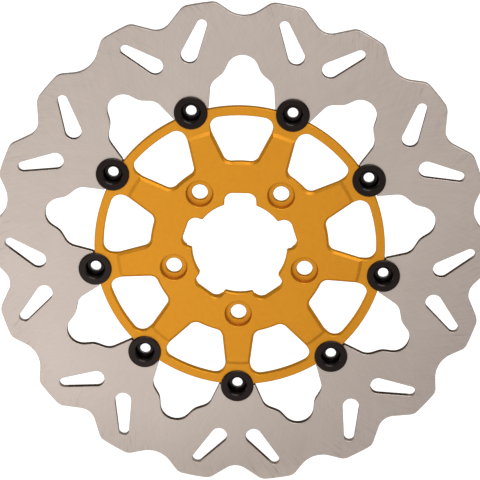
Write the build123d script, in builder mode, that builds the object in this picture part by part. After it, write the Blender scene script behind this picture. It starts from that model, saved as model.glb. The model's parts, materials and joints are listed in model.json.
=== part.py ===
from build123d import *
import os
from math import cos, radians, sin, tan

# Floating brake disc rotor of a large motorcycle, standing upright.
# The spin axis is Y and the outboard face looks along -Y. The origin is the centre of the
# face that bolts to the wheel hub. "Height" below means distance from that face towards
# the outboard side, so height h lies at Y = -h, and Plane.XZ.offset(h) is drawn on it.

# ---- driving dimensions, mm and degrees ----
drive_count = 9                 # drive bobbins, tabs, spokes, windows and cut-outs
drive_angle = -90.0             # direction of the first bobbin: straight down
gap_angle = drive_angle + 180.0 / drive_count   # direction of the first window
bolt_count = 5
bolt_angle = -90.0
lobe_angle = bolt_angle + 180.0 / bolt_count

# heights
mid_height = 3.4                # middle plane of the friction ring
disc_thickness = 4.5
rim_thickness = 4.8             # the excess over the disc is the axial float, 0.15 each way
plate_offset = 1.0              # spokes and hub stand this much outboard of the rim
rim_back = mid_height - rim_thickness / 2
rim_front = mid_height + rim_thickness / 2
hub_back = rim_back + plate_offset
hub_front = rim_front + plate_offset
disc_back = mid_height - disc_thickness / 2
disc_front = mid_height + disc_thickness / 2

# friction ring outline
disc_radius = 150.0
flank_angle = 33.5              # slope of a wave's flanks
deep_valley_radius = 140.3      # valley floor over a bobbin
deep_valley_round = 10.0
mid_valley_radius = 141.3       # valley floor between two bobbins
mid_valley_round = 16.0
tooth_corner_round = 7.0
valley_half_width = 20.0        # past the outer edge
tab_end_radius = 88.0
disc_edge_break = 0.2

# teardrop slots: wide end inboard, narrow end outboard
slot_wide_radius, slot_wide_at, slot_wide_angle = 5.0, 121.5, 5.05
slot_narrow_radius, slot_narrow_at, slot_narrow_angle = 3.1, 137.8, 9.9

# half of a cut-out between two tabs, as (out along the radius, across)
cutout_head, cutout_head_round = (118.1, 6.4), 9.4
cutout_neck, cutout_neck_round = (107.2, 11.1), 10.0
cutout_shoulder, cutout_shoulder_round = (100.9, 18.6), 8.5
cutout_foot = (84.0, 19.8)

# carrier
rim_radius = 87.0
rim_inner_radius = 81.7
rim_edge_break = 0.4
step_radius = 74.0              # foot of the conical step up to the spokes
step_run = 2.0
# half of a window between two spokes, as (out along the radius, across)
window_inner_radius = 53.5
window_inner, window_inner_round = (52.8, 8.8), 5.0
window_bend, window_bend_round = (71.3, 18.1), 9.0
window_outer, window_outer_round = (79.3, 19.7), 6.0
pad_inner_radius = 31.5         # raised ring that meets the wheel hub
pad_outer_radius = 51.0

# wheel hub interface
pilot_radius = 28.4
pilot_edge_bevel = 0.7
lobe_reach = 34.3               # relief lobes between the pilot arcs
lobe_width = 19.0
lobe_corner_round = 5.0
lobe_mouth_round = 1.0
bolt_circle_radius = 41.275
bolt_hole_radius = 4.8
bolt_hole_edge_break = 0.3
dish_radius = 8.1               # recess for the head of the hub bolt
dish_floor_radius = 7.5
dish_depth = 3.5
dish_mouth_round = 0.5

# drive bobbins and what holds them
bobbin_circle_radius = 87.9
sleeve_radius = 7.0
carrier_seat_radius = 7.06
disc_seat_radius = 7.1
flange_radius = 10.0
flange_thickness = 1.1
cup_radius = 5.65
cup_floor_height = 0.0
cup_lip = 0.6
cup_corner = 0.7
bobbin_hole_radius = 3.12
bobbin_back = -2.8
bobbin_edge_break = 0.3
flange_edge_round = 0.8
groove_radius = 6.4
axial_gap = 0.02                # running gap between stacked faces

wave_washer_strip = 0.4
wave_washer_amplitude = 0.2
wave_washer_waves = 3
wave_washer_step = 15           # degrees between two sections
washer_inner_radius = 7.15
wave_washer_outer_radius = 9.6
flat_washer_outer_radius = 10.0
flat_washer_thickness = 0.8
flat_washer_edge_break = 0.1
ring_thickness = 1.0
ring_inner_radius = 6.45
ring_outer_radius = 8.3
ring_offset = 0.45              # the ring is widest opposite its mouth
ring_mouth = 5.2
ring_ear_radius = 1.55
ring_ear_hole = 0.7
ring_ear_at = 7.9
ring_ear_spread = 31.0

wave_washer_height = wave_washer_strip + 2 * wave_washer_amplitude
wave_washer_front = rim_back - axial_gap
flat_washer_front = wave_washer_front - wave_washer_height - axial_gap
ring_front = flat_washer_front - flat_washer_thickness - axial_gap
ring_back = ring_front - ring_thickness
flange_back = rim_front + axial_gap
flange_front = flange_back + flange_thickness

cut_depth = 30.0                # longer than any thickness that is cut through
tolerance = 0.01                # for picking corners by their place


def on_circle(radius, angle):
    """Point at a radius and a direction, in a sketch's own axes."""
    return Vector(radius, 0).rotate(Axis.Z, angle)


def reach(vertex):
    """Distance of a sketch corner from the spin axis."""
    return Vector(*vertex).length


def corners_at(sketch, point):
    """The two mirrored corners of a sketch that lie as far along X as a point."""
    return sketch.vertices().filter_by_position(Axis.X, point[0] - tolerance, point[0] + tolerance)


def mirrored(point):
    """The same point on the other side of the X axis."""
    return (point[0], -point[1])


# ---- outlines, drawn with the radial direction along +X ----
def valley(floor_radius, round_radius):
    """Wedge that cuts one wave valley, with a round floor."""
    apex = floor_radius - round_radius * (1 / cos(radians(flank_angle)) - 1)
    outer = apex + valley_half_width * tan(radians(flank_angle))
    with BuildSketch() as wedge:
        with BuildLine():
            Polyline((apex, 0), (outer, valley_half_width), (outer, -valley_half_width), close=True)
        make_face()
        fillet(wedge.vertices().sort_by(Axis.X)[0], round_radius)
    return wedge.sketch


def teardrop_pair():
    """Two slots that lean away from a bobbin's direction, one each side."""
    with BuildSketch() as pair:
        with BuildSketch(mode=Mode.PRIVATE) as slot:
            with Locations(on_circle(slot_wide_at, slot_wide_angle)):
                Circle(slot_wide_radius)
            with Locations(on_circle(slot_narrow_at, slot_narrow_angle)):
                Circle(slot_narrow_radius)
            make_hull()
        add(slot.sketch)
        mirror(slot.sketch, about=Plane.XZ)
    return pair.sketch


def disc_cutout():
    """Opening between two tabs: a round head on wide shoulders, open to the carrier."""
    side = [cutout_foot, cutout_shoulder, cutout_neck, cutout_head]
    with BuildSketch() as cutout:
        with BuildLine():
            Polyline(*side, *[mirrored(point) for point in reversed(side)], close=True)
        make_face()
        fillet(corners_at(cutout, cutout_head), cutout_head_round)
        fillet(corners_at(cutout, cutout_neck), cutout_neck_round)
        fillet(corners_at(cutout, cutout_shoulder), cutout_shoulder_round)
    return cutout.sketch


def carrier_window():
    """Opening between two spokes, with its wide side against the rim."""
    with BuildSketch() as window:
        with BuildLine():
            Polyline(window_inner, window_bend, window_outer)
            ThreePointArc(window_outer, (rim_inner_radius, 0), mirrored(window_outer))
            Polyline(mirrored(window_outer), mirrored(window_bend), mirrored(window_inner))
            ThreePointArc(mirrored(window_inner), (window_inner_radius, 0), window_inner)
        make_face()
        fillet(corners_at(window, window_outer), window_outer_round)
        fillet(corners_at(window, window_bend), window_bend_round)
        fillet(corners_at(window, window_inner), window_inner_round)
    return window.sketch


def hub_bore():
    """Centre opening: pilot arcs under the bolts, relief lobes between them."""
    with BuildSketch() as bore:
        Circle(pilot_radius)
        with PolarLocations(0, bolt_count, start_angle=lobe_angle):
            with Locations((lobe_reach / 2, 0)):
                Rectangle(lobe_reach, lobe_width)
        fillet(bore.vertices().filter_by(lambda v: reach(v) > lobe_reach), lobe_corner_round)
        mouths = bore.vertices().filter_by(lambda v: abs(reach(v) - pilot_radius) < tolerance)
        fillet(mouths, lobe_mouth_round)
    return bore.sketch


# ---- friction ring ----
with BuildPart() as brake_disc:
    with BuildSketch(Plane.XZ.offset(disc_back)):
        with BuildSketch(mode=Mode.PRIVATE) as wave:
            Circle(disc_radius)
            with PolarLocations(0, drive_count, start_angle=drive_angle):
                add(valley(deep_valley_radius, deep_valley_round), mode=Mode.SUBTRACT)
            with PolarLocations(0, drive_count, start_angle=gap_angle):
                add(valley(mid_valley_radius, mid_valley_round), mode=Mode.SUBTRACT)
            tooth_corners = wave.vertices().filter_by(lambda v: reach(v) > disc_radius - tolerance)
            fillet(tooth_corners, tooth_corner_round)
        add(wave.sketch)
        Circle(tab_end_radius, mode=Mode.SUBTRACT)
        with PolarLocations(0, drive_count, start_angle=gap_angle):
            add(disc_cutout(), mode=Mode.SUBTRACT)
        with PolarLocations(0, drive_count, start_angle=drive_angle):
            add(teardrop_pair(), mode=Mode.SUBTRACT)
        with PolarLocations(bobbin_circle_radius, drive_count, start_angle=drive_angle):
            Circle(disc_seat_radius, mode=Mode.SUBTRACT)
    extrude(amount=disc_thickness)
    # every edge of both faces is broken
    chamfer(brake_disc.edges().filter_by_position(Axis.Y, -disc_front, -disc_front), disc_edge_break)
    chamfer(brake_disc.edges().filter_by_position(Axis.Y, -disc_back, -disc_back), disc_edge_break)
brake_disc.part.label = "brake_disc"

# ---- carrier ----
with BuildPart() as carrier:
    # turned blank: rim, conical steps, spoke plate and the raised mounting pad
    with BuildSketch(Plane.XY):
        with BuildLine():
            Polyline(
                (0, -hub_back),
                (pad_inner_radius, -hub_back),
                (pad_inner_radius, 0),
                (pad_outer_radius, 0),
                (pad_outer_radius, -hub_back),
                (step_radius - step_run, -hub_back),
                (step_radius, -rim_back),
                (rim_radius - rim_edge_break, -rim_back),
                (rim_radius, -rim_back - rim_edge_break),
                (rim_radius, -rim_front + rim_edge_break),
                (rim_radius - rim_edge_break, -rim_front),
                (step_radius, -rim_front),
                (step_radius - step_run, -hub_front),
                (0, -hub_front),
                close=True,
            )
        make_face()
    revolve(axis=Axis.Y)
    # windows, with a 45 degree bevel that is wide on the raised spokes and small on the rim
    with BuildSketch(Plane.XZ.offset(-cut_depth / 2)):
        with PolarLocations(0, drive_count, start_angle=gap_angle):
            add(carrier_window())
    extrude(amount=cut_depth, mode=Mode.SUBTRACT)
    with BuildSketch(Plane.XZ.offset(rim_front - rim_edge_break)):
        with PolarLocations(0, drive_count, start_angle=gap_angle):
            add(carrier_window())
    extrude(amount=plate_offset + 2 * rim_edge_break, taper=-45, mode=Mode.SUBTRACT)
    # centre bore with its front bevel
    with BuildSketch(Plane.XZ.offset(-cut_depth / 2)):
        add(hub_bore())
    extrude(amount=cut_depth, mode=Mode.SUBTRACT)
    with BuildSketch(Plane.XZ.offset(hub_front - pilot_edge_bevel)):
        add(hub_bore())
    extrude(amount=2 * pilot_edge_bevel, taper=-45, mode=Mode.SUBTRACT)
    # dished holes for the hub bolts: a rounded mouth, a steep wall, a flat floor, a plain hole
    for k in range(bolt_count):
        centre = on_circle(bolt_circle_radius, bolt_angle + 360.0 / bolt_count * k)
        with BuildSketch(Plane(origin=(centre.X, 0, centre.Y), x_dir=(1, 0, 0), z_dir=(0, 0, 1))):
            with BuildLine():
                outline = Polyline(
                    (dish_radius + dish_mouth_round, -hub_front),
                    (dish_radius + dish_mouth_round, -hub_front - dish_mouth_round),
                    (0, -hub_front - dish_mouth_round),
                    (0, cut_depth / 2),
                    (bolt_hole_radius, cut_depth / 2),
                    (bolt_hole_radius, -hub_front + dish_depth + bolt_hole_edge_break),
                    (bolt_hole_radius + bolt_hole_edge_break, -hub_front + dish_depth),
                    (dish_floor_radius, -hub_front + dish_depth),
                    (dish_radius, -hub_front + dish_mouth_round),
                )
                reach = dish_mouth_round * (1 - cos(radians(45)))
                ThreePointArc(outline @ 1, (dish_radius + reach, -hub_front + reach), outline @ 0)
            make_face()
        revolve(axis=Axis((centre.X, 0, centre.Y), (0, 1, 0)), mode=Mode.SUBTRACT)
    # half-round seats for the drive bobbins
    with BuildSketch(Plane.XZ.offset(-cut_depth / 2)):
        with PolarLocations(bobbin_circle_radius, drive_count, start_angle=drive_angle):
            Circle(carrier_seat_radius)
    extrude(amount=cut_depth, mode=Mode.SUBTRACT)
carrier.part.label = "carrier"


# ---- drive bobbins and their washers ----
def bobbin_centre(k):
    """Centre of bobbin k on the mounting plane, as X and Z in a vector's X and Y."""
    return on_circle(bobbin_circle_radius, drive_angle + 360.0 / drive_count * k)


def make_bobbin(k):
    """Flanged sleeve that drives the disc through a half-round seat in each part."""
    centre = bobbin_centre(k)
    with BuildPart() as bobbin:
        with BuildSketch(Plane(origin=(centre.X, 0, centre.Y), x_dir=(1, 0, 0), z_dir=(0, 0, 1))):
            with BuildLine():
                outline = Polyline(
                    (flange_radius, -flange_front + flange_edge_round),
                    (flange_radius, -flange_back),
                    (sleeve_radius, -flange_back),
                    (sleeve_radius, -ring_front - axial_gap),
                    (groove_radius, -ring_front - axial_gap),
                    (groove_radius, -ring_back + axial_gap),
                    (sleeve_radius, -ring_back + axial_gap),
                    (sleeve_radius, -bobbin_back - bobbin_edge_break),
                    (sleeve_radius - bobbin_edge_break, -bobbin_back),
                    (bobbin_hole_radius + bobbin_edge_break, -bobbin_back),
                    (bobbin_hole_radius, -bobbin_back - bobbin_edge_break),
                    (bobbin_hole_radius, -cup_floor_height),
                    (cup_radius - cup_corner, -cup_floor_height),
                    (cup_radius, -cup_floor_height - cup_corner),
                    (cup_radius, -flange_front + cup_lip),
                    (cup_radius + cup_lip, -flange_front),
                    (flange_radius - flange_edge_round, -flange_front),
                )
                reach = flange_edge_round * (1 - cos(radians(45)))
                ThreePointArc(outline @ 1, (flange_radius - reach, -flange_front + reach), outline @ 0)
            make_face()
        revolve(axis=Axis((centre.X, 0, centre.Y), (0, 1, 0)))
    return bobbin.part


def make_wave_washer(k):
    """Spring washer with three waves, lofted round its circle as two halves."""
    centre = bobbin_centre(k)
    middle = wave_washer_front - wave_washer_height / 2
    radius = (washer_inner_radius + wave_washer_outer_radius) / 2
    width = wave_washer_outer_radius - washer_inner_radius
    with BuildPart() as washer:
        for half_start in (0, 180):
            for turn in range(half_start, half_start + 181, wave_washer_step):
                height = middle + wave_washer_amplitude * cos(radians(wave_washer_waves * (turn - 90)))
                outward = Vector(cos(radians(turn)), 0, sin(radians(turn)))
                spot = Vector(centre.X, -height, centre.Y) + outward * radius
                section = Plane(origin=spot, x_dir=outward, z_dir=outward.cross(Vector(0, 1, 0)))
                with BuildSketch(section):
                    Rectangle(width, wave_washer_strip)
            loft()
    return washer.part


def make_flat_washer(k):
    """Plain washer between the spring washer and the retaining ring."""
    centre = bobbin_centre(k)
    with BuildPart() as washer:
        with BuildSketch(Plane.XZ.offset(flat_washer_front - flat_washer_thickness)):
            with Locations(centre):
                Circle(flat_washer_outer_radius)
                Circle(washer_inner_radius, mode=Mode.SUBTRACT)
        extrude(amount=flat_washer_thickness)
        chamfer(washer.edges().filter_by(GeomType.CIRCLE), flat_washer_edge_break)
    return washer.part


def make_retaining_ring(k):
    """External circlip with two eared ends, its mouth towards the rotor's centre."""
    centre = bobbin_centre(k)
    mouth_turn = drive_angle + 360.0 / drive_count * k + 180.0
    with BuildPart() as clip:
        with BuildSketch(Plane.XZ.offset(ring_back)):
            with Locations(Location(centre, mouth_turn)):
                with Locations((-ring_offset, 0)):
                    Circle(ring_outer_radius)
                for side in (1, -1):
                    with Locations(on_circle(ring_ear_at, side * ring_ear_spread)):
                        Circle(ring_ear_radius)
                Circle(ring_inner_radius, mode=Mode.SUBTRACT)
                with Locations((ring_outer_radius, 0)):
                    Rectangle(ring_outer_radius, ring_mouth, mode=Mode.SUBTRACT)
                for side in (1, -1):
                    with Locations(on_circle(ring_ear_at, side * ring_ear_spread)):
                        Circle(ring_ear_hole, mode=Mode.SUBTRACT)
        extrude(amount=ring_thickness)
    return clip.part


pieces = {"brake_disc": brake_disc.part, "carrier": carrier.part}
for k in range(drive_count):
    pieces[f"drive_bobbin_{k + 1}"] = make_bobbin(k)
    pieces[f"wave_washer_{k + 1}"] = make_wave_washer(k)
    pieces[f"flat_washer_{k + 1}"] = make_flat_washer(k)
    pieces[f"retaining_ring_{k + 1}"] = make_retaining_ring(k)

os.makedirs("parts", exist_ok=True)
for name, piece in pieces.items():
    piece.label = name
    export_step(piece, f"parts/{name}.step")
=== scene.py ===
import json
import math

import bpy
from mathutils import Matrix, Vector


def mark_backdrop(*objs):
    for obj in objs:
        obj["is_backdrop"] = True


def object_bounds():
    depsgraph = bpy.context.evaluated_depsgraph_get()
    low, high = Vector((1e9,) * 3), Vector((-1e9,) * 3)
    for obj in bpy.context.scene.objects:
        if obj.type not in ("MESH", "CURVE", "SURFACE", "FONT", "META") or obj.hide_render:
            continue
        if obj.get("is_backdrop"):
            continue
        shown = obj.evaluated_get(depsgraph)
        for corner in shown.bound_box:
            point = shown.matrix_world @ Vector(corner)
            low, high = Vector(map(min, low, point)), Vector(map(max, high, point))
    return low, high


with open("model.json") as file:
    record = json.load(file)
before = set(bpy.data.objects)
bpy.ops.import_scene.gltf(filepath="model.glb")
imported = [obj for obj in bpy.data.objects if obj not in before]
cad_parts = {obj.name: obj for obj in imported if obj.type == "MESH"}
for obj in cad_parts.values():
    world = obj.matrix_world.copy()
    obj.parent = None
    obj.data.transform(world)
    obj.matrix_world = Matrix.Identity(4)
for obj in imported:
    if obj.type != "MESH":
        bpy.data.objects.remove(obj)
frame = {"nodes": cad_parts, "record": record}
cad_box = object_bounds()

# The rotor stands upright, spin axis Y, outboard face towards -Y. Everything is in metres.

# ---- sizes of the rotor that the finishes follow ----
BOBBIN_CIRCLE = 0.0879
BOBBIN_COUNT = 9
BOBBIN_RADIUS = 0.0100
CUP_RADIUS = 0.00565
RIM_WEAR_AND_SHEEN = (BOBBIN_RADIUS - 0.00015, 0.00035)   # radius and half width of the lighter edges: partly wear, partly painted highlight
LIP_WEAR_AND_SHEEN = (CUP_RADIUS + 0.0003, 0.00045)
PLATE_LINE = 0.0538             # radius of the faint turned line round the hub
PLATE_LINE_HALF_WIDTH = 0.0005
WAVE_EDGE = (0.130, 0.147)      # the dark streaks set in between these radii
OUTER_WALL = (0.1375, 0.1395)   # dark slot walls give way to the bright outer wall here

# ---- stage ----
FLOOR_HEIGHT = cad_box[0][2]
STAGE_SIDES = 96
STAGE_RADIUS = 3.2
SURROUND_HEIGHT = 0.75
GLOW_LEFT = 1.04                # the floor gives its own light, more on the left
GLOW_RIGHT = 0.72
GLOW_REACH = 0.8
PATCH_RADIUS = 0.34
PATCHES = ((-0.16, -0.31, 1.30), (0.24, -0.20, -0.48))   # x, y and added glow
POOL_GLOW = 1.0                 # white pool behind the rotor, wider further back
POOL_HALF_WIDTH = 0.20
POOL_SPREAD = 0.10
POOL_EDGE = 0.35
POOL_START = (-0.10, -0.01)     # it sets in between these places along y
WORLD_GLOW = 0.42

# ---- camera: the viewing angle of the product picture, 17 degrees above the spin axis ----
CAMERA_PLACE = (0.034983, -1.381951, 0.434042)
CAMERA_RIGHT = (0.9994, 0.0302, 0.0162)
CAMERA_BACK = (0.0241, -0.9544, 0.2975)
CAMERA_LENS = 180.93            # mm, on a sensor 36 mm wide
CAMERA_SENSOR = 36.0
CAMERA_REACH = 20.0             # m


# ---- node helpers ----
class Shader:
    """One procedural material, built node by node."""

    def __init__(self, name):
        self.material = bpy.data.materials.new(name)
        self.material.use_nodes = True
        self.tree = self.material.node_tree
        self.tree.nodes.clear()
        output = self.tree.nodes.new("ShaderNodeOutputMaterial")
        self.bsdf = self.tree.nodes.new("ShaderNodeBsdfPrincipled")
        self.tree.links.new(self.bsdf.outputs[0], output.inputs["Surface"])
        coordinates = self.tree.nodes.new("ShaderNodeTexCoord")
        self.place = coordinates.outputs["Object"]
        self.normal = coordinates.outputs["Normal"]

    def put(self, socket, value):
        """Sets a socket, or links it when the value comes from another node."""
        if isinstance(value, bpy.types.NodeSocket):
            self.tree.links.new(value, socket)
        else:
            socket.default_value = value

    def add(self, kind, *values):
        """A node whose inputs are filled in order; gives its first output."""
        node = self.tree.nodes.new(kind)
        for socket, value in zip(node.inputs, values):
            self.put(socket, value)
        return node.outputs[0]

    def math(self, operation, *values):
        node = self.tree.nodes.new("ShaderNodeMath")
        node.operation = operation
        for socket, value in zip(node.inputs, values):
            self.put(socket, value)
        return node.outputs[0]

    def vector(self, operation, *values):
        node = self.tree.nodes.new("ShaderNodeVectorMath")
        node.operation = operation
        for index, value in enumerate(values):
            scale = operation == "SCALE" and index == 1
            self.put(node.inputs["Scale" if scale else index], value)
        return node.outputs["Value" if operation == "LENGTH" else "Vector"]

    def turned(self, vector, angle):
        """A vector turned round the spin axis."""
        node = self.tree.nodes.new("ShaderNodeVectorRotate")
        node.rotation_type = "Y_AXIS"
        self.put(node.inputs["Vector"], vector)
        self.put(node.inputs["Angle"], angle)
        return node.outputs[0]

    def varied(self, amount, noise, middle=0.5):
        """A variation to either side of zero, from a noise that averages the middle value."""
        return self.math("MULTIPLY", self.math("SUBTRACT", noise, middle), amount)

    def split(self, vector):
        node = self.tree.nodes.new("ShaderNodeSeparateXYZ")
        self.put(node.inputs[0], vector)
        return node.outputs

    def join(self, x=0.0, y=0.0, z=0.0):
        return self.add("ShaderNodeCombineXYZ", x, y, z)

    def noise(self, vector, scale, detail=2.0, roughness=0.5):
        node = self.tree.nodes.new("ShaderNodeTexNoise")
        self.put(node.inputs["Vector"], vector)
        node.inputs["Scale"].default_value = scale
        node.inputs["Detail"].default_value = detail
        node.inputs["Roughness"].default_value = roughness
        return node.outputs[0]

    def remap(self, value, low, high, new_low=0.0, new_high=1.0):
        return self.add("ShaderNodeMapRange", value, low, high, new_low, new_high)

    def ring(self, radius, at, half_width):
        """1 on a circle of one radius, falling to 0 at half_width from it."""
        away = self.math("ABSOLUTE", self.math("SUBTRACT", radius, at))
        return self.remap(away, 0.0, half_width, 1.0, 0.0)

    def blend(self, amount, first, second):
        """Mixes two colours, or two values used as grey."""
        node = self.tree.nodes.new("ShaderNodeMix")
        node.data_type = "RGBA"
        for name, kind, value in (("Factor", "VALUE", amount), ("A", "RGBA", first),
                                  ("B", "RGBA", second)):
            self.put(next(i for i in node.inputs if (i.name, i.type) == (name, kind)), value)
        return next(o for o in node.outputs if o.type == "RGBA")

    def shade(self, colour, amount):
        """A colour made lighter or darker by a factor."""
        if not isinstance(colour, bpy.types.NodeSocket):
            colour = colour[:3]
        return self.vector("SCALE", colour, amount)

    def bump(self, height, strength, distance):
        node = self.tree.nodes.new("ShaderNodeBump")
        node.inputs["Strength"].default_value = strength
        node.inputs["Distance"].default_value = distance
        self.put(node.inputs["Height"], height)
        return node.outputs[0]

    def finish(self, **values):
        for key, value in values.items():
            self.put(self.bsdf.inputs[key.replace("_", " ")], value)
        return self.material


def rgb(*values):
    return (*values, 1.0)


# ---- finishes ----
def ground_steel():
    """Rotary-ground friction faces with crossing arcs, and dark oxide on the cut walls."""
    s = Shader("disc_steel")
    x, _, z = s.split(s.place)
    flat = s.join(x=x, z=z)
    radius = s.vector("LENGTH", flat)
    outward = s.vector("NORMALIZE", flat)

    def arcs(twist, fineness, run):
        """Noise space drawn out along arcs that cross the face at a slant."""
        slanted = s.turned(outward, s.math("MULTIPLY", radius, twist))
        across = s.vector("SCALE", slanted, fineness)
        along = s.join(y=s.math("MULTIPLY", radius, run))
        return s.vector("ADD", across, along)

    fine = s.math("ADD", s.noise(arcs(3.5, 330.0, 60.0), 1.0, 3.0, 0.6),
                  s.noise(arcs(-3.2, 300.0, 55.0), 1.0, 3.0, 0.6))
    medium = s.math("ADD", s.noise(arcs(3.7, 120.0, 85.0), 1.0, 3.0, 0.6),
                    s.noise(arcs(-3.4, 110.0, 80.0), 1.0, 3.0, 0.6))
    broad = s.noise(arcs(3.6, 125.0, 95.0), 1.0, 2.0, 0.5)
    cloud = s.noise(s.place, 17.0, 3.0, 0.55)
    speck = s.noise(s.place, 1500.0, 2.0, 0.6)
    marks = s.math("ADD", s.math("MULTIPLY", fine, 0.5), s.math("MULTIPLY", medium, 0.5))

    # darker streaks gather at the wave edge
    edge = s.remap(radius, *WAVE_EDGE)
    streak = s.math("MULTIPLY", s.remap(broad, 0.58, 0.74), s.math("MULTIPLY", edge, 0.22))
    tone = s.math("ADD", 0.96, s.varied(0.26, marks, middle=1.0))
    tone = s.math("ADD", tone, s.varied(0.16, cloud))
    tone = s.math("ADD", tone, s.varied(0.06, speck))
    tone = s.math("SUBTRACT", tone, streak)
    face = s.shade(s.blend(cloud, rgb(0.380, 0.322, 0.286), rgb(0.370, 0.320, 0.287)), tone)

    # laser-cut walls: striations run through the thickness
    facing = s.math("ABSOLUTE", s.split(s.normal)[1])
    wall = s.remap(facing, 0.45, 0.60, 1.0, 0.0)
    stripes = s.noise(s.vector("MULTIPLY", s.place, (2600.0, 160.0, 2600.0)), 1.0, 3.0, 0.6)
    outer = s.remap(radius, *OUTER_WALL)
    oxide = s.shade(s.blend(outer, rgb(0.0414, 0.0307, 0.0243), rgb(0.300, 0.271, 0.250)),
                    s.remap(stripes, 0.3, 0.7, 0.65, 1.35))
    colour = s.blend(wall, face, oxide)
    height = s.blend(wall, s.math("MULTIPLY", marks, 0.5), stripes)
    rough = s.math("ADD", s.remap(marks, 0.7, 1.3, 0.38, 0.48), s.math("MULTIPLY", wall, 0.14))
    return s.finish(Base_Color=colour, Metallic=1.0, Roughness=rough,
                    Specular_Tint=rgb(0.82, 0.66, 0.54), Normal=s.bump(height, 0.25, 0.00006))


def gold_anodised():
    """Satin anodised aluminium: a fine blasted grain under a clear dyed film."""
    s = Shader("anodised_gold")
    x, _, z = s.split(s.place)
    radius = s.vector("LENGTH", s.join(x=x, z=z))
    grain = s.noise(s.place, 1500.0, 3.0, 0.6)
    mottle = s.noise(s.place, 330.0, 3.0, 0.55)
    cloud = s.noise(s.place, 22.0, 2.0, 0.5)
    facing = s.math("ABSOLUTE", s.split(s.normal)[1])
    wall = s.remap(facing, 0.25, 0.55, 1.0, 0.0)
    cutter = s.noise(s.vector("MULTIPLY", s.place, (160.0, 2600.0, 160.0)), 1.0, 2.0, 0.5)

    tone = s.math("ADD", 0.950, s.varied(0.20, grain))
    tone = s.math("ADD", tone, s.varied(0.13, mottle))
    tone = s.math("ADD", tone, s.varied(0.07, cloud))
    line = s.ring(radius, PLATE_LINE, PLATE_LINE_HALF_WIDTH)
    tone = s.math("ADD", tone, s.math("MULTIPLY", line, 0.035))
    face = s.shade(s.blend(cloud, rgb(0.507, 0.211, 0.0157), rgb(0.493, 0.211, 0.0186)), tone)
    side = s.shade(rgb(0.486, 0.239, 0.0286), s.remap(cutter, 0.3, 0.7, 0.88, 1.12))
    height = s.blend(wall, s.math("ADD", grain, s.math("MULTIPLY", mottle, 0.6)), cutter)
    return s.finish(Base_Color=s.blend(wall, face, side), Metallic=1.0,
                    Specular_Tint=rgb(0.86, 0.52, 0.20),
                    Roughness=s.remap(grain, 0.3, 0.7, 0.48, 0.58),
                    Normal=s.bump(height, 0.30, 0.00005))


def around_bobbin(s):
    """Radius from the nearest bobbin's axis and place along it: the nine share one finish."""
    x, _, z = s.split(s.place)
    step = 2 * math.pi / BOBBIN_COUNT
    angle = s.math("ADD", s.math("ARCTAN2", z, x), math.pi / 2)
    nearest = s.math("MULTIPLY", s.math("ROUND", s.math("DIVIDE", angle, step)), step)
    x, along, z = s.split(s.turned(s.place, nearest))
    z = s.math("ADD", z, BOBBIN_CIRCLE)
    return s.vector("LENGTH", s.join(x=x, z=z)), along


def black_bobbin():
    """Turned and hard-anodised: fine concentric lines; the flange rim and cup lip are a little
    lighter, partly wear and partly a painted highlight.
    """
    s = Shader("bobbin_black")
    radius, along = around_bobbin(s)
    lines = s.noise(s.vector("SCALE", s.join(x=radius, y=along), 9000.0), 1.0, 2.0, 0.6)
    grain = s.noise(s.place, 1800.0, 3.0, 0.6)
    # painted highlight: the flange rim and cup lip rings are lightened all round in place of
    # reflections of the lights, partly edge wear too
    rim = s.math("MULTIPLY", s.ring(radius, *RIM_WEAR_AND_SHEEN), 0.9)
    lip = s.math("MULTIPLY", s.ring(radius, *LIP_WEAR_AND_SHEEN), 0.8)
    edge = s.math("MULTIPLY", s.math("MAXIMUM", rim, lip), s.remap(grain, 0.25, 0.7))
    tone = s.math("ADD", s.remap(lines, 0.3, 0.7, 0.86, 1.10), s.math("MULTIPLY", grain, 0.15))
    dark = s.shade(rgb(0.0064, 0.0026, 0.0019), tone)
    colour = s.blend(edge, dark, rgb(0.0286, 0.0243, 0.0236))
    relief = s.math("ADD", s.math("MULTIPLY", lines, 0.7), s.math("MULTIPLY", grain, 0.3))
    return s.finish(Base_Color=colour, Metallic=1.0,
                    Roughness=s.remap(grain, 0.3, 0.7, 0.28, 0.38),
                    Coat_Weight=0.21, Coat_Roughness=0.10,
                    Normal=s.bump(relief, 0.18, 0.00004))


def small_part(name, first, second, rough, speckle):
    """Spring, washer and ring steels: concentric wear over a fine tumbled texture."""
    s = Shader(name)
    radius, _ = around_bobbin(s)
    grain = s.noise(s.place, speckle, 3.0, 0.6)
    rings = s.noise(s.join(x=s.math("MULTIPLY", radius, 5200.0)), 1.0, 2.0, 0.6)
    patch = s.noise(s.place, 210.0, 3.0, 0.6)
    mixed = s.math("ADD", s.math("MULTIPLY", patch, 0.6), s.math("MULTIPLY", rings, 0.4))
    colour = s.shade(s.blend(mixed, first, second), s.remap(grain, 0.3, 0.7, 0.90, 1.08))
    return s.finish(Base_Color=colour, Metallic=1.0,
                    Roughness=s.remap(grain, 0.3, 0.7, rough - 0.05, rough + 0.06),
                    Normal=s.bump(grain, 0.2, 0.00004))


FINISHES = {
    "disc_steel": ground_steel(),
    "anodised_gold": gold_anodised(),
    "bobbin_black": black_bobbin(),
    "spring_steel": small_part("spring_steel", rgb(0.257, 0.250, 0.243),
                               rgb(0.343, 0.329, 0.314), 0.30, 1900.0),
    "washer_steel": small_part("washer_steel", rgb(0.343, 0.336, 0.321),
                               rgb(0.429, 0.414, 0.400), 0.36, 1500.0),
    "ring_black": small_part("ring_black", rgb(0.0214, 0.0214, 0.0236),
                             rgb(0.0429, 0.0414, 0.0400), 0.48, 2200.0),
}
for row in frame["record"]["subparts"]:
    node = frame["nodes"][row["node"]]
    node.data.materials.clear()
    node.data.materials.append(FINISHES[row["material_slot"]])


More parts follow.
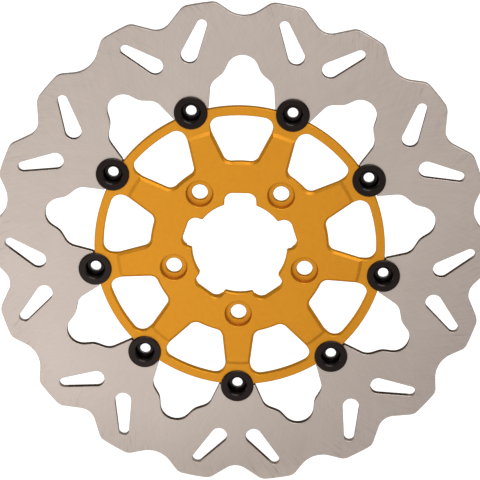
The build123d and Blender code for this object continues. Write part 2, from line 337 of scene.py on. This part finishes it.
# ---- floor, low surround and light ----
def stage_material(name):
    """Pale seamless paper that glows: it is what the faces of the rotor mirror."""
    s = Shader(name)
    x, y, _ = s.split(s.place)
    cloud = s.noise(s.place, 1.3, 2.0, 0.5)
    colour = s.shade(rgb(0.20, 0.20, 0.20), s.remap(cloud, 0.3, 0.7, 0.97, 1.0))
    half_width = s.math("ADD", POOL_HALF_WIDTH, s.math("MULTIPLY", y, POOL_SPREAD))
    past_pool = s.math("SUBTRACT", s.math("ABSOLUTE", x), half_width)
    pool = s.math("MULTIPLY", s.remap(past_pool, 0.0, POOL_EDGE, 1.0, 0.0),
                  s.remap(y, *POOL_START))
    plain = s.remap(x, -GLOW_REACH, GLOW_REACH, GLOW_LEFT, GLOW_RIGHT)
    for px, py, strength in PATCHES:
        away = s.vector("LENGTH", s.vector("SUBTRACT", s.place, (px, py, FLOOR_HEIGHT)))
        plain = s.math("ADD", plain, s.remap(away, 0.0, PATCH_RADIUS, strength, 0.0))
    glow = s.math("MAXIMUM", s.math("MULTIPLY", pool, POOL_GLOW), plain)
    return s.finish(Base_Color=colour, Roughness=0.7, Emission_Color=rgb(1.0, 1.0, 1.0),
                    Emission_Strength=glow)


def add_mesh(name, points, faces, material):
    """One piece of the stage."""
    mesh = bpy.data.meshes.new(name)
    mesh.from_pydata(points, [], faces)
    mesh.materials.append(material)
    piece = bpy.data.objects.new(name, mesh)
    bpy.context.scene.collection.objects.link(piece)
    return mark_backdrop(piece)


def stage_ring(height):
    """Points round the edge of the stage at one height."""
    turns = [2 * math.pi * k / STAGE_SIDES for k in range(STAGE_SIDES)]
    return [(STAGE_RADIUS * math.cos(turn), STAGE_RADIUS * math.sin(turn), height)
            for turn in turns]


PALE = stage_material("pale_floor")
low = stage_ring(FLOOR_HEIGHT)
high = stage_ring(FLOOR_HEIGHT + SURROUND_HEIGHT)
add_mesh("floor", low, [list(range(STAGE_SIDES))], PALE)
add_mesh("surround", low + high,
         [(k, (k + 1) % STAGE_SIDES, STAGE_SIDES + (k + 1) % STAGE_SIDES, STAGE_SIDES + k)
          for k in range(STAGE_SIDES)], PALE)


def softbox(name, place, size, power):
    """An area light aimed at the origin, hidden from the camera."""
    data = bpy.data.lights.new(name, "AREA")
    data.shape = "RECTANGLE"
    data.size, data.size_y = size
    data.energy = power
    light = bpy.data.objects.new(name, data)
    light.location = place
    light.rotation_euler = (-Vector(place)).to_track_quat("-Z", "Y").to_euler()
    light.visible_camera = False
    bpy.context.scene.collection.objects.link(light)


softbox("overhead", (0.52, -0.5, 1.5), (2.1, 1.1), 27.0)
softbox("up_front", (-0.19, -1.6, 0.9), (1.0, 0.8), 14.7)

world = bpy.data.worlds.new("studio")
world.use_nodes = True
background = world.node_tree.nodes["Background"]
background.inputs["Color"].default_value = rgb(1.0, 1.0, 1.0)
background.inputs["Strength"].default_value = WORLD_GLOW
bpy.context.scene.world = world
bpy.context.scene.view_settings.view_transform = "Standard"


# ---- camera ----
def add_camera():
    """Its sideways and backward directions are rounded, so they are squared up first."""
    right = Vector(CAMERA_RIGHT).normalized()
    back = Vector(CAMERA_BACK).normalized()
    up = back.cross(right).normalized()
    right = up.cross(back)
    data = bpy.data.cameras.new("camera")
    data.sensor_width = CAMERA_SENSOR
    data.lens = CAMERA_LENS
    data.clip_end = CAMERA_REACH
    camera = bpy.data.objects.new("camera", data)
    turn = Matrix((right, up, back)).transposed().to_4x4()
    camera.matrix_world = Matrix.Translation(CAMERA_PLACE) @ turn
    bpy.context.scene.collection.objects.link(camera)
    bpy.context.scene.camera = camera


add_camera()
